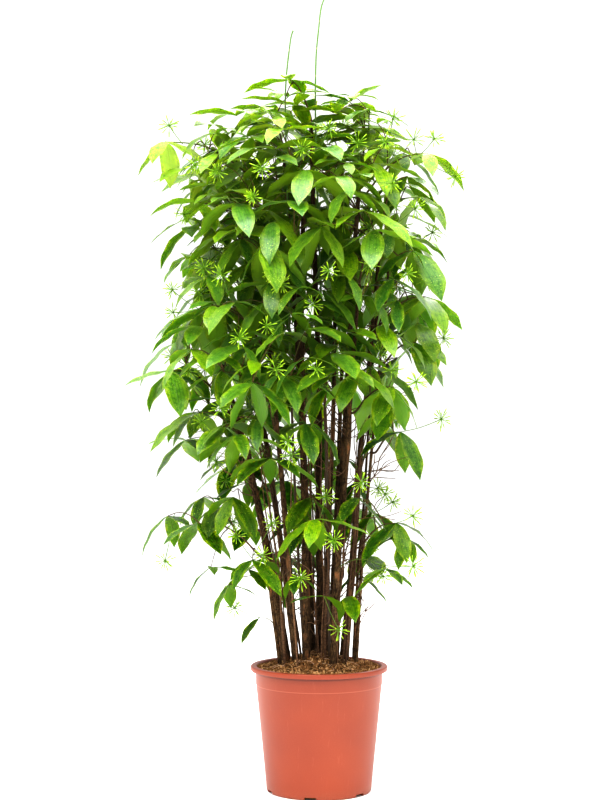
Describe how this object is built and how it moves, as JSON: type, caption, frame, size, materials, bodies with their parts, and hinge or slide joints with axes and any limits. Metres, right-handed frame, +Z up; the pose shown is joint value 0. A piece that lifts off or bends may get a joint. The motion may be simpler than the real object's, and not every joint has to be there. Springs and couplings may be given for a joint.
{
  "type": "potted plant",
  "caption": "Tall gold dust dracaena in a tapered nursery pot: leaning woody canes, whorls of drooping glossy leaves, flower-bud umbels and bare green shoots.",
  "frame": {"origin": "centre of the pot's flat base, where it stands on the floor", "axes": "+Z up along the pot's axis, -Y towards the front that the picture shows, +X to the picture's right"},
  "size_m": [0.6597, 0.6552, 1.5615],
  "materials": {
    "pot_plastic": "satin terracotta-coloured moulded plastic",
    "soil": "coarse brown coir and bark mix",
    "bark": "brown streaky bark, ringed by old leaf scars",
    "green_stem": "smooth green young stem",
    "foliage": "glossy green leaves, green twigs and yellow-green buds"
  },
  "bodies": {
    "root": {"cane_01": "bark", "cane_02": "bark", "cane_03": "bark", "cane_04": "bark", "cane_05": "bark", "cane_06": "bark", "cane_07": "bark", "cane_08": "bark", "cane_09": "bark", "cane_10": "bark", "cane_11": "bark", "cane_12": "bark", "cane_13": "bark", "cane_14": "bark", "cane_15": "bark", "cane_16": "bark", "pot": "pot_plastic", "shoot_left": "green_stem", "shoot_right": "green_stem", "soil": "soil", "spray_01": "foliage", "spray_02": "foliage", "spray_03": "foliage", "spray_04": "foliage", "spray_05": "foliage", "spray_06": "foliage", "spray_07": "foliage", "spray_08": "foliage", "spray_09": "foliage", "spray_10": "foliage", "spray_11": "foliage", "spray_12": "foliage", "spray_13": "foliage", "spray_14": "foliage", "spray_15": "foliage", "spray_16": "foliage", "spray_17": "foliage", "spray_18": "foliage", "spray_19": "foliage", "spray_20": "foliage", "spray_21": "foliage", "spray_22": "foliage", "spray_23": "foliage", "spray_24": "foliage", "spray_25": "foliage", "spray_26": "foliage", "spray_27": "foliage", "spray_28": "foliage", "spray_29": "foliage", "spray_30": "foliage", "spray_31": "foliage", "spray_32": "foliage", "spray_33": "foliage", "spray_34": "foliage", "spray_35": "foliage", "spray_36": "foliage", "spray_37": "foliage", "spray_38": "foliage", "spray_39": "foliage", "spray_40": "foliage"}
  },
  "joints": []
}
